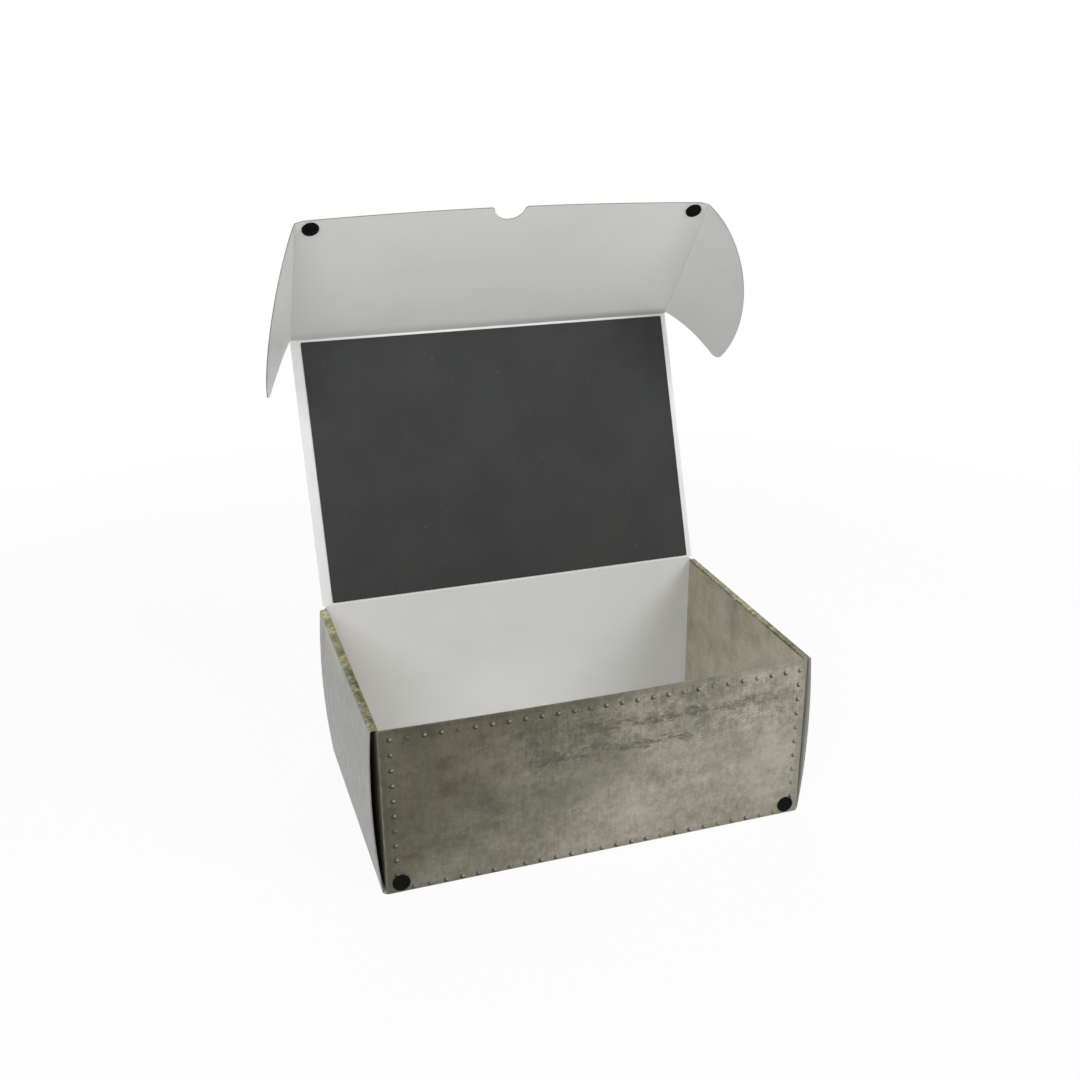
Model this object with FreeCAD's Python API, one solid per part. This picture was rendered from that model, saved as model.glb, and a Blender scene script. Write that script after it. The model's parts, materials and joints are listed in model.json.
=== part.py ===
"""Storage box folded from one sheet of laminated board, open, with its lid leaning back.

The origin is the middle of the box's underside, +X is right, +Y is back and +Z is up.
Each panel between two creases is one solid. Right-hand pieces are drawn and left-hand ones
are mirrored. Lid, flap and ears are drawn flat, in the plane of the closed lid, and are
then folded to the angles at which the box stands open.
"""

import FreeCAD, Part
import math
import os

Vector = FreeCAD.Vector

# Driving dimensions of the folded box, in millimetres
box_width = 300.0
box_depth = 196.0
wall_height = 122.0
board = 0.8

# Clearances
slide_gap = 0.3
crease_gap = 0.1
mated_gap = 0.1

# Side walls: an outer panel that bows out, a strip across the top and an inner panel
side_recess = 2.8
side_lean = 2.0
side_bulge = 3.0
outer_bend_radius = 2.0
inner_bend_radius = 1.2

# Base, and the tabs of the inner side panels that lock into it
base_corner_cut = 1.6
tab_count = 2
tab_width = 40.0
tab_pitch = 100.0
tab_lift = 0.1

# Dust flaps, folded back from the front and back walls into the side walls
dust_flap_length = 85.0
dust_flap_taper = 5.0
dust_flap_corner = 12.0

# Lid and front flap, with angles in degrees
lid_open_angle = 110.0
flap_fold_angle = 59.0
flap_foot_gap = 0.4
flap_bow = 4.5
flap_corner_run = 9.0
flap_corner_drop = 2.0
notch_radius = 11.4
notch_shoulder = 2.5

# Tuck ears: distances along the flap from its crease, and out from the flap's side
left_ear_fold_angle = 66.0
right_ear_fold_angle = 62.5
ear_width = 65.0
ear_widest_at = 35.0
ear_hollow_depth = 7.2
ear_hollow_at = 24.0
ear_tip_radius = 8.0

# Hook-and-loop coins
coin_diameter = 12.0
coin_thickness = 1.6
coin_side_inset = 10.0
coin_height = 7.8

# Ferrous sheets
sheet_thickness = 0.7
sheet_corner_radius = 1.0
lid_sheet_left_margin = 6.5
lid_sheet_right_margin = 3.2
lid_sheet_front_margin = 2.0
lid_sheet_hinge_margin = 1.6
base_sheet_margin = 2.0

# Halves, and the start of a panel that turns on a rounded crease
half_width = box_width / 2
half_depth = box_depth / 2
half_board = board / 2
bead_radius = half_board
leaf_start = bead_radius + crease_gap

# An ear slides into the slot between a dust flap and the outer side panel
ear_plane = half_width + slide_gap + half_board
outer_foot = ear_plane + half_board + slide_gap + board
outer_top = outer_foot + side_lean
inner_face = half_width - 2 * board
side_half_length = half_depth - side_recess
wall_half_span = half_width - board

# The lid closes with its sheet just above the walls, and the flap with its coins on the front wall's
mated_coins = 2 * coin_thickness + mated_gap
wall_bow = mated_coins - slide_gap
crease_height = wall_height + slide_gap + sheet_thickness + half_board
hinge_y = half_depth - half_board
flap_crease_y = -half_depth - mated_coins - half_board
lid_half_width = ear_plane + bead_radius
flap_length = crease_height - flap_foot_gap
ear_root = crease_height - wall_height + board + slide_gap
ear_reach = flap_length - flap_corner_drop

X_AXIS = Vector(1, 0, 0)
Y_AXIS = Vector(0, 1, 0)
Z_AXIS = Vector(0, 0, 1)
ORIGIN = Vector(0, 0, 0)


def block(low, high):
    """A box between two corners."""
    size = [b - a for a, b in zip(low, high)]
    return Part.makeBox(*size, Vector(*low))


def line(start, end):
    return Part.LineSegment(Vector(*start), Vector(*end)).toShape()


def arc(start, middle, end):
    return Part.Arc(Vector(*start), Vector(*middle), Vector(*end)).toShape()


def arc_about(centre, start, end):
    """The short arc from start to end about a centre."""
    middle, start, end = Vector(*centre), Vector(*start), Vector(*end)
    outward = (start - middle) + (end - middle)
    return Part.Arc(start, middle + outward.normalize() * (start - middle).Length, end).toShape()


def ellipse_arc(centre, axis_ends, start, end):
    """The short arc from start to end of the ellipse with this centre and these two axis ends."""
    middle = Vector(*centre)
    ends = sorted([Vector(*p) for p in axis_ends], key=lambda p: -(p - middle).Length)
    ellipse = Part.Ellipse(ends[0], ends[1], middle)
    first, last = [ellipse.parameter(Vector(*p)) for p in (start, end)]
    if (last - first) % (2 * math.pi) > math.pi:
        first, last = last, first
    return Part.ArcOfEllipse(ellipse, first, last).toShape()


def face_within(edges):
    """The flat face inside a closed run of edges."""
    return Part.Face(Part.Wire(Part.__sortEdges__(edges)))


def polygon(points):
    """The flat face with these corners."""
    return face_within([line(a, b) for a, b in zip(points, points[1:] + points[:1])])


def edges_along(shape, axis, wanted=lambda middle: True):
    """The straight edges parallel to an axis whose middle point is wanted."""
    straight = [edge for edge in shape.Edges if isinstance(edge.Curve, Part.Line)]
    parallel = [edge for edge in straight if edge.Curve.Direction.cross(axis).Length < 1e-6]
    return [edge for edge in parallel if wanted(edge.CenterOfMass)]


def mirrored_in_x(shape):
    return shape.mirror(ORIGIN, X_AXIS)


def mirrored_in_y(shape):
    return shape.mirror(ORIGIN, Y_AXIS)


def side_bar(section):
    """A piece of the side wall with this XZ section, as long as the wall."""
    bar = section.extrude(Y_AXIS * (2 * side_half_length))
    bar.translate(Y_AXIS * -side_half_length)
    return bar


def bowed_section(half_span, near, far, bow, place):
    """One end of a sheet that bows by so much at mid-span. place(x, offset) puts it in space."""
    near_left, near_right = place(-half_span, near), place(half_span, near)
    far_left, far_right = place(-half_span, far), place(half_span, far)
    if bow:
        near_edge = arc(near_left, place(0, near + bow), near_right)
        far_edge = arc(far_right, place(0, far + bow), far_left)
    else:
        near_edge = line(near_left, near_right)
        far_edge = line(far_right, far_left)
    return Part.Wire([near_edge, line(near_right, far_right), far_edge, line(far_left, near_left)])


def wall_layer(near, far):
    """A layer of the front wall, between two distances out from its outer face.

    The wall is straight at its foot and bows out towards its free top edge.
    """

    def at_height(z):
        return lambda x, offset: (x, -half_depth - offset, z)

    foot = bowed_section(wall_half_span, near, far, 0, at_height(board))
    top = bowed_section(wall_half_span, near, far, wall_bow, at_height(wall_height))
    return Part.makeLoft([foot, top], True, True)


def flap_layer(near, far):
    """A layer of the flat-drawn flap, between two heights above the middle of its board.

    The flap is straight at its crease and bows towards its printed side at its free edge.
    """

    def at_distance(u):
        return lambda x, offset: (x, flap_crease_y - u, crease_height + offset)

    crease_end = bowed_section(ear_plane, near, far, 0, at_distance(leaf_start))
    free_end = bowed_section(ear_plane, near, far, flap_bow, at_distance(flap_length))
    return Part.makeLoft([crease_end, free_end], True, True)


def front_fold():
    """The rounded fold between the base and the front wall."""
    middle = Vector(-wall_half_span, -half_depth + board, board)
    round_bar = Part.makeCylinder(board, 2 * wall_half_span, middle, X_AXIS)
    corner = block(
        (-wall_half_span, -half_depth, 0),
        (wall_half_span, -half_depth + board, board),
    )
    return round_bar.common(corner)


def tab_places():
    """The y of each lock tab's middle, spread evenly along the side."""
    return [(i - (tab_count - 1) / 2) * tab_pitch for i in range(tab_count)]


def base_panel():
    """The floor of the box, with cut corners and a slot for each lock tab."""
    panel = block(
        (board - outer_foot, board - half_depth, 0),
        (outer_foot - board, half_depth - board, board),
    )
    panel = panel.makeChamfer(base_corner_cut, edges_along(panel, Z_AXIS))
    for y in tab_places():
        slot = block(
            (inner_face - crease_gap, y - tab_width / 2 - slide_gap, 0),
            (inner_face + board + crease_gap, y + tab_width / 2 + slide_gap, board),
        )
        panel = panel.cut(slot).cut(mirrored_in_x(slot))
    return panel


def front_wall():
    return front_fold().fuse(wall_layer(-board, 0)).removeSplitter()


def back_wall():
    """The back wall, whose top edge is the rounded crease that the lid turns on."""
    plate = block(
        (-wall_half_span, half_depth - board, board),
        (wall_half_span, half_depth, crease_height),
    )
    crease = Vector(-wall_half_span, hinge_y, crease_height)
    bead = Part.makeCylinder(bead_radius, 2 * wall_half_span, crease, X_AXIS)
    return plate.fuse([mirrored_in_y(front_fold()), bead]).removeSplitter()


def right_outer_panel():
    """The outside of the side wall: it leans out a little and bows between its two folds."""
    foot = outer_foot - board
    top = wall_height - outer_bend_radius
    middle = (board + top) / 2
    bulge = (outer_foot + outer_top) / 2 + side_bulge
    outside = arc((outer_foot, 0, board), (bulge, 0, middle), (outer_top, 0, top))
    inside = arc((foot, 0, board), (bulge - board, 0, middle), (outer_top - board, 0, top))
    fold = arc_about((foot, 0, board), (foot, 0, 0), (outer_foot, 0, board))
    ends = [line((foot, 0, 0), (foot, 0, board)), line((outer_top, 0, top), (outer_top - board, 0, top))]
    return side_bar(face_within([outside, inside, fold] + ends))


def right_top_strip():
    """The strip where the side wall rolls over, with a tight inner fold and a rounder outer one."""
    underside = wall_height - board
    inner_x = inner_face + inner_bend_radius
    inner_z = wall_height - inner_bend_radius
    outer_x = outer_top - outer_bend_radius
    outer_z = wall_height - outer_bend_radius
    inner_centre = (inner_x, 0, inner_z)
    outer_centre = (outer_x, 0, outer_z)
    return side_bar(
        face_within(
            [
                arc_about(inner_centre, (inner_face, 0, inner_z), (inner_x, 0, wall_height)),
                line((inner_x, 0, wall_height), (outer_x, 0, wall_height)),
                arc_about(outer_centre, (outer_x, 0, wall_height), (outer_top, 0, outer_z)),
                line((outer_top, 0, outer_z), (outer_top - board, 0, outer_z)),
                arc_about(outer_centre, (outer_top - board, 0, outer_z), (outer_x, 0, underside)),
                line((outer_x, 0, underside), (inner_x, 0, underside)),
                arc_about(inner_centre, (inner_x, 0, underside), (inner_face + board, 0, inner_z)),
                line((inner_face + board, 0, inner_z), (inner_face, 0, inner_z)),
            ]
        )
    )


def right_inner_panel():
    """The inside of the side wall, with tabs that go down into the base's slots."""
    panel = block(
        (inner_face, -side_half_length, board),
        (inner_face + board, side_half_length, wall_height - inner_bend_radius),
    )
    for y in tab_places():
        tab = block(
            (inner_face, y - tab_width / 2, tab_lift),
            (inner_face + board, y + tab_width / 2, board),
        )
        panel = panel.fuse(tab)
    return panel.removeSplitter()


def front_right_dust_flap():
    """The flap folded back from the front wall's side edge, with its fold at the box's corner."""
    foot = board + slide_gap
    head = wall_height - inner_bend_radius - slide_gap
    fold_y = -half_depth + board
    strip_y = -side_half_length - slide_gap
    free_y = -half_depth + dust_flap_length
    outline = [
        (half_width, fold_y, foot),
        (half_width, free_y, foot + dust_flap_taper),
        (half_width, free_y, head - dust_flap_taper),
        (half_width, strip_y, head),
        (half_width, strip_y, wall_height),
        (half_width, fold_y, wall_height),
    ]
    leaf = polygon(outline).extrude(X_AXIS * -board)
    free_corners = edges_along(leaf, X_AXIS, lambda middle: middle.y > free_y - slide_gap)
    leaf = leaf.makeFillet(dust_flap_corner, free_corners)
    middle = Vector(wall_half_span, fold_y, foot)
    round_bar = Part.makeCylinder(board, wall_height - foot, middle, Z_AXIS)
    corner = block((wall_half_span, -half_depth, foot), (half_width, fold_y, wall_height))
    return leaf.fuse(round_bar.common(corner)).removeSplitter()


def lid_panel():
    """The lid, whose front edge is the rounded crease that the flap turns on."""
    plate = block(
        (-lid_half_width, flap_crease_y, crease_height - half_board),
        (lid_half_width, hinge_y - leaf_start, crease_height + half_board),
    )
    crease = Vector(-lid_half_width, flap_crease_y, crease_height)
    bead = Part.makeCylinder(bead_radius, 2 * lid_half_width, crease, X_AXIS)
    return plate.fuse(bead).removeSplitter()


def right_corner_offcut():
    """What is cut off where the flap's free edge curves down into the ear, with room to spare."""
    free_y = flap_crease_y - flap_length
    start_x = ear_plane - flap_corner_run
    radius = (flap_corner_run**2 + flap_corner_drop**2) / (2 * flap_corner_drop)
    floor = crease_height - board
    start = (start_x, free_y, floor)
    centre = (start_x, free_y + radius, floor)
    end = (ear_plane, free_y + flap_corner_drop, floor)
    outside = (ear_plane + board, free_y + flap_corner_drop, floor)
    beyond = (ear_plane + board, free_y - board, floor)
    before = (start_x, free_y - board, floor)
    curve = arc_about(centre, start, end)
    straight = [line(end, outside), line(outside, beyond), line(beyond, before), line(before, start)]
    return face_within([curve] + straight).extrude(Z_AXIS * (2 * board + flap_bow))


def lid_flap():
    """The front flap, with a rounded crease for each ear and a thumb notch in its free edge."""
    layer = flap_layer(-half_board, half_board)
    free_edge = Vector(0, flap_crease_y - flap_length, crease_height - flap_bow)
    flap = layer.cut(Part.makeCylinder(notch_radius, 3 * flap_bow, free_edge))
    shoulders = edges_along(flap, Z_AXIS, lambda middle: abs(middle.x) < 2 * notch_radius)
    flap = flap.makeFillet(notch_shoulder, shoulders)
    corner = right_corner_offcut()
    flap = flap.cut(corner).cut(mirrored_in_x(corner))
    for x in (-ear_plane, ear_plane):
        crease = Vector(x, flap_crease_y - leaf_start, crease_height)
        flap = flap.fuse(Part.makeCylinder(bead_radius, ear_reach - leaf_start, crease, -Y_AXIS))
    return flap


def right_ear():
    """A wing-shaped ear: part of an ellipse, hollow along the lid's side, with a rounded tip."""

    def at(along_flap, out):
        return (ear_plane + out, flap_crease_y - along_flap, crease_height - half_board)

    length = ear_reach - ear_widest_at
    start_along = ear_widest_at + length * math.sqrt(1 - (leaf_start / ear_width) ** 2)
    tip_out = ear_width * math.sqrt(1 - ((ear_widest_at - ear_root) / length) ** 2)
    root = at(ear_root, leaf_start)
    start = at(start_along, leaf_start)
    tip = at(ear_root, tip_out)
    axis_ends = [at(ear_reach, 0), at(ear_widest_at, ear_width)]
    edges = [
        line(root, start),
        ellipse_arc(at(ear_widest_at, 0), axis_ends, start, tip),
        arc(tip, at(ear_hollow_depth, ear_hollow_at), root),
    ]
    ear = face_within(edges).extrude(Z_AXIS * board)
    tip_edge = edges_along(ear, Z_AXIS, lambda middle: middle.x > ear_plane + tip_out - crease_gap)
    return ear.makeFillet(ear_tip_radius, tip_edge)


def rounded_sheet(low, high):
    sheet = block(low, high)
    return sheet.makeFillet(sheet_corner_radius, edges_along(sheet, Z_AXIS))


def lid_sheet():
    """The dark sheet on the lid's inside, stuck on a little to one side."""
    top = crease_height - half_board
    return rounded_sheet(
        (lid_sheet_left_margin - half_width, flap_crease_y + lid_sheet_front_margin, top - sheet_thickness),
        (half_width - lid_sheet_right_margin, hinge_y - lid_sheet_hinge_margin, top),
    )


def base_sheet():
    """The like sheet on the floor of the box."""
    half_x = inner_face - base_sheet_margin
    half_y = half_depth - board - base_sheet_margin
    return rounded_sheet((-half_x, -half_y, board), (half_x, half_y, board + sheet_thickness))


def right_wall_coin():
    """A coin on the front wall's bottom corner, which follows the wall's bow."""
    below = Vector(half_width - coin_side_inset, -half_depth, coin_height)
    reach = 2 * coin_thickness
    disc = Part.makeCylinder(coin_diameter / 2, 2 * reach, below + Y_AXIS * reach, -Y_AXIS)
    return disc.common(wall_layer(0, coin_thickness))


def right_flap_coin():
    """The coin that meets it, on the flap's inner side."""
    place_y = flap_crease_y - (crease_height - coin_height)
    below = Vector(half_width - coin_side_inset, place_y, crease_height - 2 * coin_thickness)
    disc = Part.makeCylinder(coin_diameter / 2, 2 * coin_thickness + flap_bow, below, Z_AXIS)
    return disc.common(flap_layer(-half_board - coin_thickness, -half_board))


def fold(shape, point, axis, angle):
    """A copy turned about a crease, by the right-hand rule, in degrees."""
    copy = shape.copy()
    copy.rotate(point, axis, angle)
    return copy


def with_ear_folded(shape, angle):
    crease = Vector(ear_plane, 0, crease_height)
    return fold(shape, crease, Y_AXIS, angle)


def with_flap_folded(shape):
    crease = Vector(0, flap_crease_y, crease_height)
    return fold(shape, crease, X_AXIS, flap_fold_angle)


def with_lid_open(shape):
    crease = Vector(0, hinge_y, crease_height)
    return fold(shape, crease, -X_AXIS, lid_open_angle)


def on_flap(shape):
    return with_lid_open(with_flap_folded(shape))


def add_pair(parts, name, shape):
    """Adds a right-hand piece and its mirror image under a name with {side} in it."""
    parts[name.format(side="right")] = shape
    parts[name.format(side="left")] = mirrored_in_x(shape)


def build_parts():
    """Every piece of the box by its name."""
    parts = {
        "base_panel": base_panel(),
        "base_sheet": base_sheet(),
        "front_wall": front_wall(),
        "back_wall": back_wall(),
        "lid_panel": with_lid_open(lid_panel()),
        "lid_sheet": with_lid_open(lid_sheet()),
        "lid_flap": on_flap(lid_flap()),
    }
    dust_flap = front_right_dust_flap()
    add_pair(parts, "front_{side}_dust_flap", dust_flap)
    add_pair(parts, "back_{side}_dust_flap", mirrored_in_y(dust_flap))
    add_pair(parts, "{side}_outer_panel", right_outer_panel())
    add_pair(parts, "{side}_top_strip", right_top_strip())
    add_pair(parts, "{side}_inner_panel", right_inner_panel())
    add_pair(parts, "{side}_wall_coin", right_wall_coin())
    add_pair(parts, "{side}_flap_coin", on_flap(right_flap_coin()))
    ear = right_ear()
    parts["right_ear"] = on_flap(with_ear_folded(ear, right_ear_fold_angle))
    parts["left_ear"] = mirrored_in_x(on_flap(with_ear_folded(ear, left_ear_fold_angle)))
    return parts


os.makedirs("parts", exist_ok=True)
for name, shape in build_parts().items():
    shape.exportStep(f"parts/{name}.step")
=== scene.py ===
"""The looks of a folded storage box: worn riveted metal print outside, white board inside.

Lengths of the print are in millimetres, and everything else is in metres and in the CAD's frame.
"""

import json
import math
from dataclasses import dataclass

import bpy
from mathutils import Matrix, Vector, noise

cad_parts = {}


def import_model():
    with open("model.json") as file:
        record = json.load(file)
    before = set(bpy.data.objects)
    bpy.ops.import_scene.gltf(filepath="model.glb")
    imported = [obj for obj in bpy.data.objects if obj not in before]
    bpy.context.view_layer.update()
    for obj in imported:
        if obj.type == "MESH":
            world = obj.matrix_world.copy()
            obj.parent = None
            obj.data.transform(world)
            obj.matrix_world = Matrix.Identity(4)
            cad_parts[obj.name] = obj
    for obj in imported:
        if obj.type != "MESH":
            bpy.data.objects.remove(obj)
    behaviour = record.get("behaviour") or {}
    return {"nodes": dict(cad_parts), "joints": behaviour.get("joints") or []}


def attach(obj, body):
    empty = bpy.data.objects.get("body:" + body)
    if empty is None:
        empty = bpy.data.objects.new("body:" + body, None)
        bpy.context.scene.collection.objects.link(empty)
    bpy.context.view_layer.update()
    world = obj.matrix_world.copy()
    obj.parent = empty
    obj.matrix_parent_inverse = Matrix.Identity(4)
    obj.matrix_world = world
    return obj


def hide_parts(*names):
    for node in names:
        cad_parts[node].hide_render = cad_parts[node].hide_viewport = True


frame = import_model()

MILLIMETRES = 1000.0
NODES = frame["nodes"]
JOINTS = {joint["name"]: joint for joint in frame["joints"]}
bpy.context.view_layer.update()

RIGHT = Vector((1, 0, 0))
BACK = Vector((0, 1, 0))
UP = Vector((0, 0, 1))

# Camera, as the photograph's perspective gives it: degrees, and metres in the box's frame
CAMERA_AZIMUTH = -18.664
CAMERA_ELEVATION = 22.144
CAMERA_ROLL = -0.285
CAMERA_DISTANCE = 0.96041
CAMERA_ASIDE = -0.00048
CAMERA_RAISED = 0.16692
PHOTO_SIDE = 1080
PHOTO_CENTRE = 540.0
FOCAL_PIXELS = 1270.80
PRINCIPAL_X = 555.40
PRINCIPAL_Y = 557.52
SENSOR_WIDTH = 36.0

# Printed rivets, in millimetres
RIVET_PITCH = 11.0
RIVET_RADIUS = 1.8
RIVETS_FROM_TOP = 7.3
RIVETS_FROM_LEFT = 6.9
RIVETS_FROM_RIGHT = 4.6
RIVETS_FROM_FOOT = 2.8
FOOT_ROW_START = 17.5
COLUMN_START = 14.0

# Marks that make up the worn print: size across and up, detail, roughness and share of the tone
PRINT_LAYERS = (
    (80.0, 65.0, 3.0, 0.50, 0.80),
    (26.0, 21.0, 8.0, 0.75, 0.95),
    (9.0, 9.0, 6.0, 0.70, 0.70),
    (4.0, 5.0, 5.0, 0.65, 0.60),
    (1.6, 18.0, 3.0, 0.60, 0.32),
    (14.0, 2.2, 3.0, 0.60, 0.10),
    (1.1, 1.1, 2.0, 0.60, 0.40),
)

# Level lines in the front's print: height, start and end, as shares of the panel
LEVEL_LINES = ((0.80, 0.42, 1.00), (0.66, 0.26, 0.82))

# Where the print changes up a panel, as shares of its height, and over how many millimetres
CALM_BELOW = 0.55
SCRATCHED_ABOVE = 0.5
CALM_FADE = 20.0

# How deep moss, the painted shade at a crease and worn edges reach into a panel, in millimetres
MOSS_DEPTH = 20.0
CREASE_SHADE_START, CREASE_SHADE_END = 9.0, 0.5
BORDER_START, BORDER_END = 2.5, 5.0
WEAR_START, WEAR_END = 0.2, 1.2

# The noise of one panel starts this far from the next one's
PANEL_SEED = 32.0
RIVET_ROW_SEED = 40.0

# Hook-and-loop coins: the mesh's rings and spokes, and the pile's share of the thickness
COIN_RINGS = 22
COIN_SPOKES = 84
COIN_DOME = 0.10
COIN_PILE = 0.16
COIN_PILE_SIZE = 0.00055
COIN_RAGGED = 0.035
COIN_RIM = ((0.98, 0.62), (1.0, 0.42), (1.0, 0.22), (0.985, 0.0))

# Studio
WORLD_LIGHT = 0.2
LAMPS_AIM = Vector((0, 0, 0.15))
FLOOR_SIZE = 12.0
FLOOR_WHITE_NEAR = 0.92
FLOOR_NEAR = 0.5
FLOOR_FAR = 1.2
FLOOR_PAINT = (0.9, 0.9, 0.9, 1.0)

# Lamps: degrees right of the front and up, distance and width in metres, and watts
LAMPS = {
    "front": (-35.0, 35.0, 1.5, 0.9, 9.5),
    "key": (40.0, 38.0, 2.2, 1.2, 20.0),
    "side": (80.0, 25.0, 2.2, 1.2, 3.0),
    "back": (170.0, 40.0, 2.2, 1.2, 12.0),
}


def srgb(red, green, blue):
    """A colour given as it looks, from 0 to 255, as the linear values that a shader takes."""

    def linear(value):
        share = value / 255
        return share / 12.92 if share <= 0.04045 else ((share + 0.055) / 1.055) ** 2.4

    return (linear(red), linear(green), linear(blue), 1.0)


METAL = (srgb(84, 80, 66), srgb(126, 122, 107), srgb(168, 164, 149))
BRUSHED = (srgb(128, 130, 126), srgb(147, 149, 144), srgb(166, 167, 161))
MOSSY = (srgb(70, 71, 42), srgb(140, 136, 92), srgb(212, 206, 156))
OLIVE_METAL = (srgb(132, 130, 104), srgb(188, 184, 158), srgb(214, 208, 188))
PRINT_RUST = srgb(108, 88, 74)
PRINT_OLIVE = srgb(114, 116, 94)
PRINT_PALE = srgb(190, 187, 170)
PRINT_STAIN = srgb(92, 87, 76)
# Multiplied into a panel's left end and top: partly the print's own darkness, partly painted shade
PRINT_DARK_AND_SHADE = (0.26, 0.25, 0.19, 1.0)
BOARD_WHITE = srgb(229, 229, 228)
BOARD_SMUDGE = srgb(225, 225, 223)
# Painted shade along the flap's crease
BOARD_CREASE_SHADE = srgb(158, 159, 156)
BOARD_CORE = srgb(150, 148, 140)
BOARD_CORE_DARK = srgb(118, 115, 106)
RIVET_SHADE = srgb(30, 27, 22)
RIVET_SHINE = srgb(186, 184, 168)
SHEET_DARK = srgb(50, 52, 51)
SHEET_LIGHT = srgb(56, 58, 56)
SHEET_GRAIN = srgb(66, 67, 65)
SHEET_SPECK = srgb(140, 140, 136)
FLOOR_SHEET = srgb(222, 222, 219)
FLOOR_SHEET_WORN = srgb(216, 216, 212)
COIN_DARK = srgb(9, 9, 10)
COIN_LIGHT = srgb(34, 34, 37)


class Net:
    """A material's nodes, with short calls that return sockets."""

    def __init__(self, name):
        self.material = bpy.data.materials.new(name)
        self.material.use_nodes = True
        self.tree = self.material.node_tree
        self.tree.nodes.clear()

    def node(self, kind, **settings):
        made = self.tree.nodes.new(kind)
        for name, value in settings.items():
            setattr(made, name, value)
        return made

    def feed(self, socket, value):
        """Links a socket to an input, or sets the input to a plain value."""
        if isinstance(value, bpy.types.NodeSocket):
            self.tree.links.new(value, socket)
        else:
            socket.default_value = value

    def math(self, operation, a, b=0.0, clamp=False):
        made = self.node("ShaderNodeMath", operation=operation, use_clamp=clamp)
        self.feed(made.inputs[0], a)
        self.feed(made.inputs[1], b)
        return made.outputs[0]

    def add(self, a, b):
        return self.math("ADD", a, b)

    def minus(self, a, b):
        return self.math("SUBTRACT", a, b)

    def times(self, *factors):
        product = factors[0]
        for factor in factors[1:]:
            product = self.math("MULTIPLY", product, factor)
        return product

    def least(self, *values):
        smallest = values[0]
        for value in values[1:]:
            smallest = self.math("MINIMUM", smallest, value)
        return smallest

    def most(self, a, b):
        return self.math("MAXIMUM", a, b)

    def dot(self, a, b):
        made = self.node("ShaderNodeVectorMath", operation="DOT_PRODUCT")
        self.feed(made.inputs[0], a)
        self.feed(made.inputs[1], b)
        return made.outputs["Value"]

    def length(self, vector):
        made = self.node("ShaderNodeVectorMath", operation="LENGTH")
        self.feed(made.inputs[0], vector)
        return made.outputs["Value"]

    def ramp(self, value, low, high, low_out=0.0, high_out=1.0, kind="SMOOTHSTEP"):
        """Turns the range from low to high into another one, and holds outside it."""
        made = self.node("ShaderNodeMapRange", interpolation_type=kind)
        for socket, setting in zip(made.inputs, (value, low, high, low_out, high_out)):
            self.feed(socket, setting)
        return made.outputs[0]

    def mix(self, share, a, b, blend="MIX"):
        """One colour into another."""
        made = self.node("ShaderNodeMix", data_type="RGBA", blend_type=blend)
        self.feed(made.inputs[0], share)
        self.feed(made.inputs[6], a)
        self.feed(made.inputs[7], b)
        return made.outputs[2]

    def combine(self, x, y, z=0.0):
        made = self.node("ShaderNodeCombineXYZ")
        for socket, value in zip(made.inputs, (x, y, z)):
            self.feed(socket, value)
        return made.outputs[0]

    def coordinate(self, name):
        return self.node("ShaderNodeTexCoord").outputs[name]

    def millimetres(self):
        """The place on the object, in millimetres."""
        made = self.node("ShaderNodeVectorMath", operation="SCALE")
        self.feed(made.inputs[0], self.coordinate("Object"))
        made.inputs["Scale"].default_value = MILLIMETRES
        return made.outputs[0]

    def noise(self, vector, size=1.0, detail=4.0, roughness=0.55):
        """Fractal noise from 0 to 1, with features of about this size."""
        made = self.node("ShaderNodeTexNoise")
        self.feed(made.inputs["Vector"], vector)
        made.inputs["Scale"].default_value = 1.0 / size
        made.inputs["Detail"].default_value = detail
        made.inputs["Roughness"].default_value = roughness
        return made.outputs[0]

    def marks(self, place, seed, across, up, detail=4.0, roughness=0.55):
        """Noise on a panel whose features are this wide and this high, in millimetres."""
        u, v = place
        spot = self.combine(self.times(u, 1.0 / across), self.times(v, 1.0 / up), seed)
        return self.noise(spot, 1.0, detail, roughness)

    def random(self, value):
        made = self.node("ShaderNodeTexWhiteNoise", noise_dimensions="1D")
        self.feed(made.inputs["W"], value)
        return made.outputs["Value"]

    def bump(self, height, strength, distance):
        made = self.node("ShaderNodeBump")
        made.inputs["Strength"].default_value = strength
        made.inputs["Distance"].default_value = distance
        self.feed(made.inputs["Height"], height)
        return made.outputs[0]

    def finish(self, colour, roughness, bump=None, specular=0.5):
        shader = self.node("ShaderNodeBsdfPrincipled")
        self.feed(shader.inputs["Base Color"], colour)
        self.feed(shader.inputs["Roughness"], roughness)
        shader.inputs["Specular IOR Level"].default_value = specular
        if bump:
            self.feed(shader.inputs["Normal"], bump)
        output = self.node("ShaderNodeOutputMaterial")
        self.tree.links.new(shader.outputs[0], output.inputs[0])
        return self.material


def extent(node, axis):
    """The lowest and highest place of a CAD node along an axis."""
    places = [vertex.co.dot(axis) for vertex in NODES[node].data.vertices]
    return min(places), max(places)


class Panel:
    """Where a node's print lies: its directions across, up and out, and its size in millimetres."""

    def __init__(self, node, across, outward):
        self.node = node
        self.across = across
        self.outward = outward
        self.up = outward.cross(across)
        left, right = extent(node, self.across)
        foot, top = extent(node, self.up)
        self.left = left * MILLIMETRES
        self.foot = foot * MILLIMETRES
        self.width = right * MILLIMETRES - self.left
        self.height = top * MILLIMETRES - self.foot

    def place(self, net):
        """Millimetres across and up the panel from its corner."""
        coordinate = net.coordinate("Object")
        across = net.dot(coordinate, self.across * MILLIMETRES)
        up = net.dot(coordinate, self.up * MILLIMETRES)
        return net.minus(across, self.left), net.minus(up, self.foot)


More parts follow.
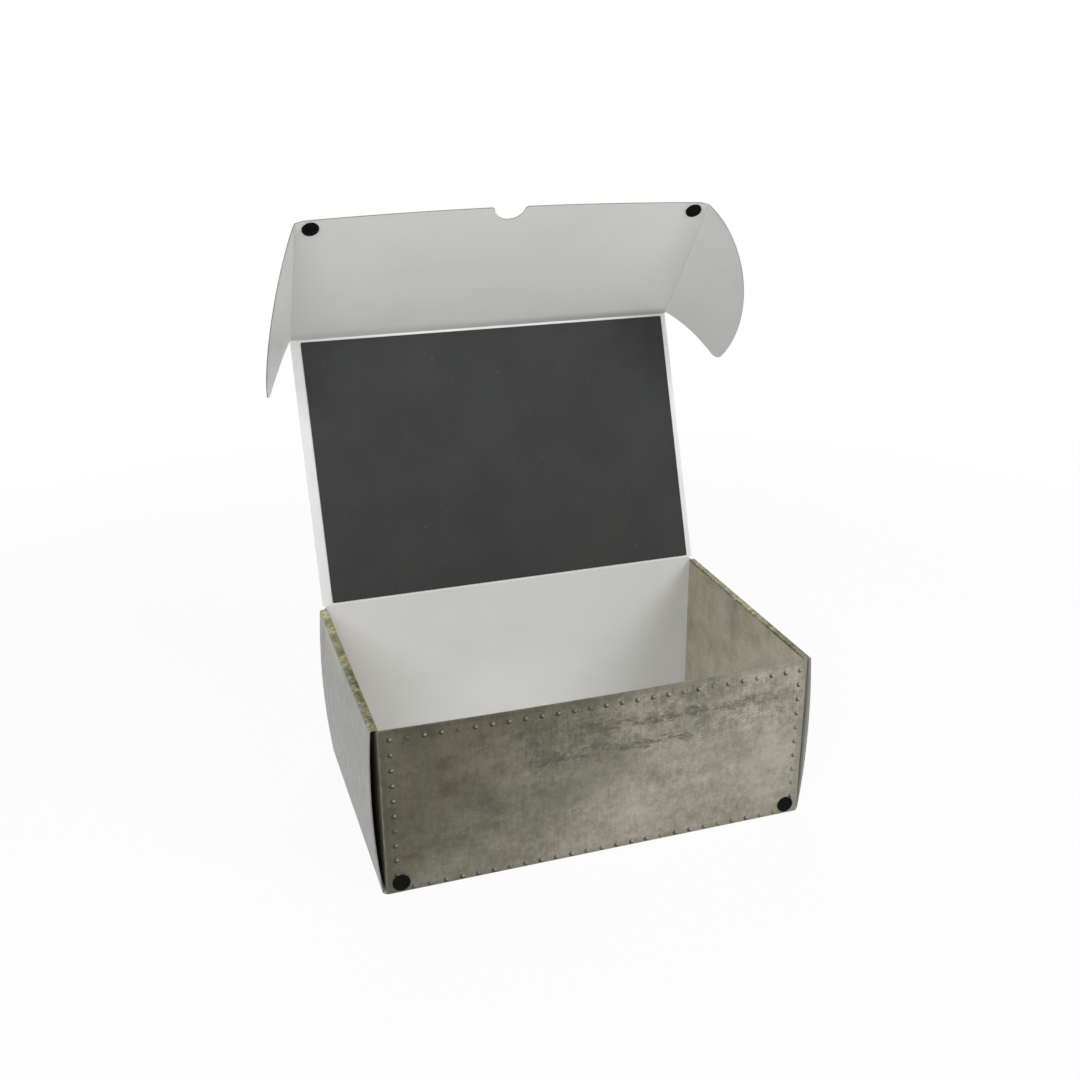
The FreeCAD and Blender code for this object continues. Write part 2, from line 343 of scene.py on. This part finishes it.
@dataclass(frozen=True)
class Print:
    """How the print on a panel differs from the plain one."""

    palette: tuple = METAL
    tone: float = 0.0
    contrast: float = 1.0
    # How dark a panel's left end and top get: partly the print's own darkness, partly painted shade
    dark_left_and_shade: float = 0.0
    rust: float = 0.35
    olive: float = 0.3
    level_stain: float = 0.0
    calm_foot: float = 0.0
    upright: float = 0.0
    moss: float = 0.0
    rear_is_right: bool = False
    riveted: bool = False


def rivet_row(net, along, beside, first, last, seed):
    """Places in a row of printed rivets, along and beside the nearest, with its strength and its luck."""
    count = round((last - first) / RIVET_PITCH)
    pitch = (last - first) / count
    pitches = net.times(net.minus(along, first), 1.0 / pitch)
    index = net.math("ROUND", pitches)
    inside = net.times(
        net.math("GREATER_THAN", index, -0.5),
        net.math("LESS_THAN", index, count + 0.5),
    )
    luck = net.random(net.add(index, seed))
    place = net.times(net.minus(pitches, index), pitch)
    return place, beside, net.times(inside, net.ramp(luck, 0.0, 0.5, 0.6, 1.0)), luck


def rivet_marks(net, x, y, strength, luck):
    """The drawn rivet: a dark crescent to its lower left and a highlight of its own strength."""

    def spot(dx, dy, radius, soft):
        distance = net.length(net.combine(net.minus(x, dx), net.minus(y, dy)))
        return net.ramp(distance, radius - soft, radius + soft, 1.0, 0.0)

    head = spot(0.70, 0.30, 0.70 * RIVET_RADIUS, 0.5)
    shade = net.math("SUBTRACT", spot(-0.25, -0.2, RIVET_RADIUS, 0.5), head, clamp=True)
    shine = net.times(spot(0.65, 0.30, 0.42 * RIVET_RADIUS, 0.45), net.ramp(luck, 0.2, 0.9, 0.25, 1.0))
    return net.times(shade, strength), net.times(shine, strength)


def rivets(net, panel, place):
    """Rows of rivets along the four edges of a panel."""
    u, v = place
    right = panel.width - RIVETS_FROM_RIGHT
    top = panel.height - RIVETS_FROM_TOP
    foot_end = panel.width - FOOT_ROW_START
    column_end = top - RIVET_PITCH
    rows = (
        (u, v, RIVETS_FROM_LEFT, right, top, False),
        (u, v, FOOT_ROW_START, foot_end, RIVETS_FROM_FOOT, False),
        (v, u, COLUMN_START, column_end, RIVETS_FROM_LEFT, True),
        (v, u, COLUMN_START, column_end, right, True),
    )
    shades, shines = 0.0, 0.0
    for number, (along, beside, first, last, line, upright) in enumerate(rows):
        a, b, *look = rivet_row(net, along, net.minus(beside, line), first, last, RIVET_ROW_SEED * number)
        x, y = (b, a) if upright else (a, b)
        shade, shine = rivet_marks(net, x, y, *look)
        shades = net.most(shades, shade)
        shines = net.most(shines, shine)
    return shades, shines


def metal_tone(net, panel, place, seed, style):
    """How light the worn metal is, from 0 to 1: many layers of marks."""
    worn = 0.0
    for index, (across, up, detail, roughness, share) in enumerate(PRINT_LAYERS):
        marks = net.marks(place, seed + index, across, up, detail, roughness)
        worn = net.add(worn, net.times(net.minus(marks, 0.5), share * style.contrast))
    if style.calm_foot:
        calm = CALM_BELOW * panel.height
        worn = net.times(worn, net.ramp(place[1], calm, calm + CALM_FADE, 1.0 - style.calm_foot, 1.0))
    if style.upright:
        streaks = net.marks(place, seed + 9, 26.0, 100.0, 4.0, 0.55)
        worn = net.add(worn, net.times(net.minus(streaks, 0.5), style.upright))
    return net.add(worn, 0.5 + style.tone)


def level_lines(net, panel, place, seed):
    """Ragged level lines, two of them, in the upper part of a panel towards its right."""
    u, v = place
    drift = net.times(net.minus(net.marks(place, seed + 16, 26.0, 12.0, 6.0, 0.7), 0.5), 22.0)
    broken = net.ramp(net.marks(place, seed + 20, 10.0, 4.0, 6.0, 0.72), 0.42, 0.56)
    lines = 0.0
    for height, start, end in LEVEL_LINES:
        away = net.minus(net.add(v, drift), height * panel.height)
        line = net.times(
            net.ramp(away, -3.5, -1.5),
            net.ramp(away, 1.0, 6.0, 1.0, 0.0),
            net.ramp(u, start * panel.width, (start + 0.15) * panel.width),
            net.ramp(u, (end - 0.15) * panel.width, end * panel.width, 1.0, 0.0),
        )
        lines = net.most(lines, line)
    return net.times(lines, broken)


def stains(net, panel, place, seed, style, colour):
    """Rust, olive patches, level lines, pale chips and scratches, and dark pits over the metal."""
    rust = net.ramp(net.marks(place, seed + 11, 30.0, 22.0, 6.0, 0.65), 0.53, 0.68, 0.0, style.rust)
    if style.dark_left_and_shade:
        rust = net.times(rust, net.ramp(place[0], 0.15 * panel.width, 0.6 * panel.width, 1.0, 0.3))
    colour = net.mix(rust, colour, PRINT_RUST)
    olive = net.ramp(net.marks(place, seed + 12, 48.0, 40.0, 5.0, 0.6), 0.46, 0.66, 0.0, style.olive)
    colour = net.mix(olive, colour, PRINT_OLIVE)
    if style.level_stain:
        lines = level_lines(net, panel, place, seed)
        colour = net.mix(net.times(lines, style.level_stain), colour, PRINT_STAIN)
    near = net.ramp(net.marks(place, seed + 14, 28.0, 20.0, 3.0), 0.45, 0.60)
    chips = net.ramp(net.marks(place, seed + 13, 3.2, 2.2, 5.0, 0.75), 0.60, 0.68, 0.0, 0.6)
    colour = net.mix(net.times(chips, near, style.contrast), colour, PRINT_PALE)
    curls = net.minus(net.marks(place, seed + 10, 17.0, 14.0, 5.0, 0.6), 0.5)
    scratches = net.ramp(net.math("ABSOLUTE", curls), 0.002, 0.010, 0.28, 0.0)
    if style.calm_foot:
        calm = SCRATCHED_ABOVE * panel.height
        scratches = net.times(scratches, net.ramp(place[1], calm, calm + CALM_FADE, 0.3, 1.3))
    colour = net.mix(net.times(scratches, near, style.contrast), colour, PRINT_PALE)
    pits = net.ramp(net.marks(place, seed + 15, 2.2, 1.8, 4.0, 0.6), 0.62, 0.70, 0.0, 0.45)
    return net.mix(net.times(pits, style.contrast), colour, PRINT_STAIN)


def from_edge(net, panel, place):
    """The distance from a panel's nearest edge."""
    u, v = place
    return net.least(u, net.minus(panel.width, u), v, net.minus(panel.height, v))


def left_print_and_shade(net, panel, place, seed, style):
    """How far the print darkens at its left end, and further along its top: partly the print's own darker
    end, partly painted shade where less light falls than on its right.
    """
    u, v = place
    drift = net.times(net.minus(net.marks(place, seed + 19, 60.0, 40.0, 4.0), 0.5), 0.3 * panel.width)
    along = net.minus(net.add(u, drift), net.times(v, 0.38 * panel.width / panel.height))
    return net.ramp(along, -0.2 * panel.width, 0.55 * panel.width, style.dark_left_and_shade, 0.0)


def moss_share(net, panel, place, seed, style):
    """How far moss runs down from a panel's top edge, on its rear half."""
    u, v = place
    back = u if style.rear_is_right else net.minus(panel.width, u)
    return net.times(
        net.ramp(v, panel.height - MOSS_DEPTH, panel.height, 0.0, style.moss),
        net.ramp(net.marks(place, seed + 18, 30.0, 14.0, 5.0), 0.38, 0.58),
        net.ramp(back, 0.35 * panel.width, 0.65 * panel.width),
    )


def moss_colour(net, value):
    """The paler half of the mossy palette, by how light the metal under it is."""
    return net.mix(net.ramp(value, 0.2, 0.8, kind="LINEAR"), MOSSY[1], MOSSY[2])


def print_colour(net, panel, place, seed, style):
    """The worn metal with its stains, its rivets and the wear along its edges."""
    value = metal_tone(net, panel, place, seed, style)
    dark, middle, light = style.palette
    colour = net.mix(net.ramp(value, 0.0, 0.5, kind="LINEAR"), dark, middle)
    colour = net.mix(net.ramp(value, 0.5, 1.0, kind="LINEAR"), colour, light)
    colour = stains(net, panel, place, seed, style, colour)
    if style.riveted:
        border = net.ramp(from_edge(net, panel, place), BORDER_START, BORDER_END, 0.4, 0.0)
        colour = net.mix(border, colour, PRINT_OLIVE)
    if style.dark_left_and_shade:
        shade = left_print_and_shade(net, panel, place, seed, style)
        # Partly the print's own darker end, partly painted shade
        colour = net.mix(shade, colour, PRINT_DARK_AND_SHADE, "MULTIPLY")
    if style.moss:
        colour = net.mix(moss_share(net, panel, place, seed, style), colour, moss_colour(net, value))
    if style.riveted:
        shade, shine = rivets(net, panel, place)
        colour = net.mix(shade, colour, RIVET_SHADE)
        colour = net.mix(net.times(shine, 0.6), colour, RIVET_SHINE)
    worn = net.times(
        net.ramp(from_edge(net, panel, place), WEAR_START, WEAR_END, 0.25, 0.0),
        net.ramp(net.marks(place, seed + 17, 7.0, 7.0, 5.0, 0.65), 0.48, 0.60),
    )
    return net.mix(worn, colour, BOARD_CORE)


def white_colour(net, panel, place, seed, with_crease_shade):
    """Coated white board, faintly smudged, with painted shade where it folds into its crease."""
    smudges = net.marks(place, seed + 21, 60.0, 45.0, 4.0)
    colour = net.mix(net.ramp(smudges, 0.45, 0.75), BOARD_WHITE, BOARD_SMUDGE)
    if with_crease_shade:
        u, v = place
        # Painted shade: darker near the crease, where the curled board faces down, and more so towards the
        # right, where the right ear shades it
        crease_shade_share = net.times(
            net.ramp(v, panel.height - CREASE_SHADE_START, panel.height - CREASE_SHADE_END, 0.0, 0.75),
            net.ramp(u, 0.0, panel.width, 0.45, 1.0),
        )
        colour = net.mix(crease_shade_share, colour, BOARD_CREASE_SHADE)
    return colour


def core_share(net, panel, cut, facing):
    """1 on the edges where the board was cut, which show its core: all round, the top or the ends."""
    normal = net.coordinate("Normal")
    if cut == "rim":
        return net.ramp(net.math("ABSOLUTE", facing), 0.45, 0.65, 1.0, 0.0)
    if cut == "top":
        return net.ramp(net.dot(normal, panel.up), 0.5, 0.7)
    return net.ramp(net.math("ABSOLUTE", net.dot(normal, panel.across)), 0.5, 0.7)


def board(panel, seed, cut, style, with_crease_shade=False):
    """Laminated board: printed on its outward side, white on the other, with a core at cut edges."""
    net = Net(panel.node)
    place = panel.place(net)
    printed = print_colour(net, panel, place, seed, style)
    white = white_colour(net, panel, place, seed, with_crease_shade)
    facing = net.dot(net.coordinate("Normal"), panel.outward)
    fibres = net.marks(place, seed + 23, 0.5, 0.5, 3.0, 0.6)
    core = net.mix(net.ramp(fibres, 0.4, 0.6), BOARD_CORE, BOARD_CORE_DARK)
    colour = net.mix(net.ramp(facing, -0.1, 0.1), white, printed)
    colour = net.mix(core_share(net, panel, cut, facing), colour, core)
    warp = net.marks(place, seed + 24, 70.0, 55.0, 2.0, 0.5)
    height = net.add(warp, net.times(fibres, 0.012))
    gloss = net.ramp(net.marks(place, seed + 25, 12.0, 12.0, 5.0), 0.3, 0.7, 0.34, 0.46)
    dress(panel.node, net.finish(colour, gloss, net.bump(height, 0.35, 0.0006)))


def dress(node, material):
    """Gives a CAD node its finish."""
    NODES[node].material_slots[0].material = material


def direction(start, end):
    """The unit vector from one place to another."""
    return (Vector(end) - Vector(start)).normalized()


def outward_of_flap():
    """The direction out of the flap's printed side."""
    return Vector(JOINTS["left_ear_hinge"]["axis"]).cross(RIGHT)


def printed_boards():
    """Every panel of the folded blank."""
    lid_up = direction(JOINTS["lid_hinge"]["pos_m"], JOINTS["flap_hinge"]["pos_m"])
    flap_down = Vector(JOINTS["left_ear_hinge"]["axis"])
    flap_out = outward_of_flap()
    plain = Print(contrast=1.3)
    riveted = Print(contrast=1.4, riveted=True)
    # The front and the inner panels are darker at their left ends: partly print, partly painted shade
    front = Print(
        tone=0.22, contrast=1.8, calm_foot=0.35, dark_left_and_shade=1.0, level_stain=1.0, rust=0.55, riveted=True
    )
    strip = Print(palette=MOSSY, tone=-0.1, contrast=2.8, rust=0.1, olive=0.3)
    inner = Print(
        palette=OLIVE_METAL, tone=0.35, contrast=1.4, dark_left_and_shade=0.35, upright=2.0, rust=0.2, olive=0.3
    )
    board(Panel("front_wall", RIGHT, -BACK), 1.0, "top", front)
    board(Panel("back_wall", -RIGHT, BACK), PANEL_SEED, "ends", riveted)
    board(Panel("base_panel", RIGHT, -UP), 2 * PANEL_SEED, "rim", plain)
    board(Panel("lid_panel", -RIGHT, lid_up.cross(RIGHT)), 3 * PANEL_SEED, "ends", riveted)
    # The flap's white side gets painted shade along its crease
    board(Panel("lid_flap", RIGHT, flap_out), 4 * PANEL_SEED, "rim", riveted, with_crease_shade=True)
    # The left dust flaps are printed darker: partly the front's darker left end carried on, partly painted
    # shade for the deep slot beside the front wall
    for side, outward, seed, dust_tone_and_shade in (("left", -RIGHT, 160.0, -0.4), ("right", RIGHT, 400.0, 0.0)):
        along = UP.cross(outward)
        fold = math.radians(-JOINTS[f"{side}_ear_hinge"]["range_deg"][0])
        ear_out = flap_out * math.cos(fold) + outward * math.sin(fold)
        dust = Print(tone=dust_tone_and_shade, contrast=0.6, rust=0.1)
        brushed = Print(
            palette=BRUSHED, contrast=0.3, rust=0.0, olive=0.05, moss=0.8, rear_is_right=along.dot(BACK) > 0
        )
        board(Panel(f"{side}_outer_panel", along, outward), seed, "ends", brushed)
        board(Panel(f"{side}_top_strip", along, UP), seed + PANEL_SEED, "ends", strip)
        board(Panel(f"{side}_inner_panel", -along, -outward), seed + 2 * PANEL_SEED, "ends", inner)
        board(Panel(f"front_{side}_dust_flap", along, outward), seed + 3 * PANEL_SEED, "top", dust)
        board(Panel(f"back_{side}_dust_flap", along, outward), seed + 4 * PANEL_SEED, "top", dust)
        board(Panel(f"{side}_ear", flap_down, ear_out), seed + 5 * PANEL_SEED, "rim", plain)


def lid_sheet():
    """A matt charcoal sheet with faint mottling and sparse pale specks."""
    net = Net("lid_sheet")
    place = net.millimetres()
    grain = net.noise(place, 0.7, 3.0, 0.6)
    colour = net.mix(net.ramp(net.noise(place, 40.0, 4.0, 0.6), 0.3, 0.7), SHEET_DARK, SHEET_LIGHT)
    colour = net.mix(net.ramp(grain, 0.3, 0.7, 0.0, 0.2), colour, SHEET_GRAIN)
    specks = net.ramp(net.noise(place, 2.4, 1.0, 0.4), 0.79, 0.82, 0.0, 0.35)
    colour = net.mix(specks, colour, SHEET_SPECK)
    dress("lid_sheet", net.finish(colour, 0.7, net.bump(grain, 0.2, 0.0002), specular=0.2))


def base_sheet():
    """A matt pale sheet: the light on the inner walls speaks for one."""
    net = Net("base_sheet")
    place = net.millimetres()
    grain = net.noise(place, 0.7, 3.0, 0.6)
    colour = net.mix(net.ramp(net.noise(place, 40.0, 4.0, 0.6), 0.3, 0.7), FLOOR_SHEET, FLOOR_SHEET_WORN)
    dress("base_sheet", net.finish(colour, 0.7, net.bump(grain, 0.2, 0.0002), specular=0.2))


def face_normal(node, outward):
    """The mean direction of a node's flat face that looks roughly outward."""
    total = Vector((0, 0, 0))
    for face in NODES[node].data.polygons:
        if face.normal.dot(outward) > 0.9:
            total += face.normal * face.area
    return total.normalized()


def coin_profile():
    """Radius and height of each ring of a coin, as shares, from the middle of its top to its foot."""
    top = [ring / COIN_RINGS for ring in range(COIN_RINGS)]
    crown = [(0.96 * radius, 1.0 - COIN_PILE - COIN_DOME * radius**2) for radius in top]
    return crown + list(COIN_RIM)


def coin(node, body, outward, material):
    """A fuzzy disc of hook-and-loop in a CAD coin's place."""
    normal = face_normal(node, outward)
    across = (RIGHT - normal * RIGHT.dot(normal)).normalized()
    up = normal.cross(across)
    (left, right), (low, high), (foot, top) = (extent(node, axis) for axis in (across, up, normal))
    centre = across * (left + right) / 2 + up * (low + high) / 2 + normal * foot
    radius, thickness = min(right - left, high - low) / 2, top - foot
    points, faces = [], []
    for share, level in coin_profile():
        for spoke in range(COIN_SPOKES):
            turn = 2 * math.pi * spoke / COIN_SPOKES
            spread = across * math.cos(turn) + up * math.sin(turn)
            rough = noise.noise((centre + spread * share * radius) / COIN_PILE_SIZE)
            reach = radius * share * (1.0 - COIN_RAGGED * (0.5 + 0.5 * rough) * share)
            rise = thickness * (level + COIN_PILE * rough * (level > 0.5))
            points.append(centre + spread * reach + normal * rise)
    rings = len(points) // COIN_SPOKES
    for ring in range(rings - 1):
        for spoke in range(COIN_SPOKES):
            following = (spoke + 1) % COIN_SPOKES
            near, far = ring * COIN_SPOKES, (ring + 1) * COIN_SPOKES
            faces.append((near + spoke, far + spoke, far + following, near + following))
    faces.append(tuple((rings - 1) * COIN_SPOKES + spoke for spoke in reversed(range(COIN_SPOKES))))
    mesh = bpy.data.meshes.new(f"{node}_pile")
    mesh.from_pydata(points, [], faces)
    mesh.shade_smooth()
    mesh.materials.append(material)
    piece = bpy.data.objects.new(f"{node}_pile", mesh)
    bpy.context.scene.collection.objects.link(piece)
    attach(piece, body)
    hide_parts(node)


def coins():
    """The black hook-and-loop coins of the front wall and of the flap's inner side."""
    net = Net("hook_and_loop")
    loops = net.noise(net.millimetres(), 0.45, 3.0, 0.7)
    colour = net.mix(net.ramp(loops, 0.4, 0.75), COIN_DARK, COIN_LIGHT)
    material = net.finish(colour, 1.0, net.bump(loops, 0.8, 0.0004), specular=0.1)
    for side in ("left", "right"):
        coin(f"{side}_wall_coin", "box", -BACK, material)
        coin(f"{side}_flap_coin", "flap", -outward_of_flap(), material)


def outward_from(azimuth, elevation):
    """The direction from the box to a place so many degrees right of its front and up."""
    turn, lift = math.radians(azimuth), math.radians(elevation)
    return Vector((math.sin(turn) * math.cos(lift), -math.cos(turn) * math.cos(lift), math.sin(lift)))


def camera():
    """The camera of the photograph, with its roll and with its middle off the picture's middle."""
    back = outward_from(CAMERA_AZIMUTH, CAMERA_ELEVATION)
    roll = math.radians(CAMERA_ROLL)
    level_right = (-back).cross(UP).normalized()
    level_up = level_right.cross(-back)
    right = level_right * math.cos(roll) + level_up * math.sin(roll)
    up = level_up * math.cos(roll) - level_right * math.sin(roll)
    data = bpy.data.cameras.new("camera")
    data.sensor_width = SENSOR_WIDTH
    data.lens = FOCAL_PIXELS / PHOTO_SIDE * SENSOR_WIDTH
    data.shift_x = (PHOTO_CENTRE - PRINCIPAL_X) / PHOTO_SIDE
    data.shift_y = (PRINCIPAL_Y - PHOTO_CENTRE) / PHOTO_SIDE
    data.clip_start, data.clip_end = 0.01, 100.0
    made = bpy.data.objects.new("camera", data)
    bpy.context.scene.collection.objects.link(made)
    turn = Matrix((right, up, back)).transposed().to_4x4()
    place = back * CAMERA_DISTANCE + right * CAMERA_ASIDE + up * CAMERA_RAISED
    made.matrix_world = Matrix.Translation(place) @ turn
    bpy.context.scene.camera = made


def lamp(name, azimuth, elevation, distance, size, power):
    """A soft round lamp that looks at the box."""
    toward = outward_from(azimuth, elevation)
    data = bpy.data.lights.new(name, "AREA")
    data.shape = "DISK"
    data.size = size
    data.energy = power
    made = bpy.data.objects.new(name, data)
    bpy.context.scene.collection.objects.link(made)
    made.location = toward * distance + LAMPS_AIM
    made.rotation_mode = "QUATERNION"
    made.rotation_quaternion = toward.to_track_quat("Z", "Y")


def seen_white(net):
    """1 for rays from the camera, a mirror or glass, and 0 for those that carry light."""
    rays = net.node("ShaderNodeLightPath").outputs
    seen = net.most(rays["Is Camera Ray"], rays["Is Glossy Ray"])
    return net.most(seen, rays["Is Transmission Ray"])


def world():
    """A white surround that gives a little light of its own."""
    made = bpy.data.worlds.new("studio")
    bpy.context.scene.world = made
    made.use_nodes = True
    tree = made.node_tree
    rays = tree.nodes.new("ShaderNodeLightPath").outputs
    seen = rays["Is Camera Ray"]
    for other in ("Is Glossy Ray", "Is Transmission Ray"):
        either = tree.nodes.new("ShaderNodeMath")
        either.operation = "MAXIMUM"
        tree.links.new(seen, either.inputs[0])
        tree.links.new(rays[other], either.inputs[1])
        seen = either.outputs[0]
    strength = tree.nodes.new("ShaderNodeMapRange")
    strength.inputs["To Min"].default_value = WORLD_LIGHT
    strength.inputs["To Max"].default_value = 1.0
    tree.links.new(seen, strength.inputs["Value"])
    background = tree.nodes["Background"]
    background.inputs["Color"].default_value = (1.0, 1.0, 1.0, 1.0)
    tree.links.new(strength.outputs[0], background.inputs["Strength"])


def floor():
    """A white floor that keeps a faint shadow near the box and runs into the surround."""
    net = Net("floor")
    diffuse = net.node("ShaderNodeBsdfDiffuse")
    diffuse.inputs["Color"].default_value = FLOOR_PAINT
    glow = net.node("ShaderNodeEmission")
    mixed = net.node("ShaderNodeMixShader")
    away = net.length(net.coordinate("Object"))
    white = net.ramp(away, FLOOR_NEAR, FLOOR_FAR, FLOOR_WHITE_NEAR, 1.0)
    net.feed(mixed.inputs[0], net.times(seen_white(net), white))
    net.tree.links.new(diffuse.outputs[0], mixed.inputs[1])
    net.tree.links.new(glow.outputs[0], mixed.inputs[2])
    output = net.node("ShaderNodeOutputMaterial")
    net.tree.links.new(mixed.outputs[0], output.inputs[0])
    bpy.ops.mesh.primitive_plane_add(size=FLOOR_SIZE, location=(0, 0, 0))
    made = bpy.context.object
    made.name = "floor"
    made.data.materials.append(net.material)


def studio():
    """Plain soft light from the front and the right, and some from behind."""
    bpy.context.scene.view_settings.view_transform = "Standard"
    world()
    floor()
    for name, settings in LAMPS.items():
        lamp(name, *settings)


printed_boards()
lid_sheet()
base_sheet()
coins()
camera()
studio()
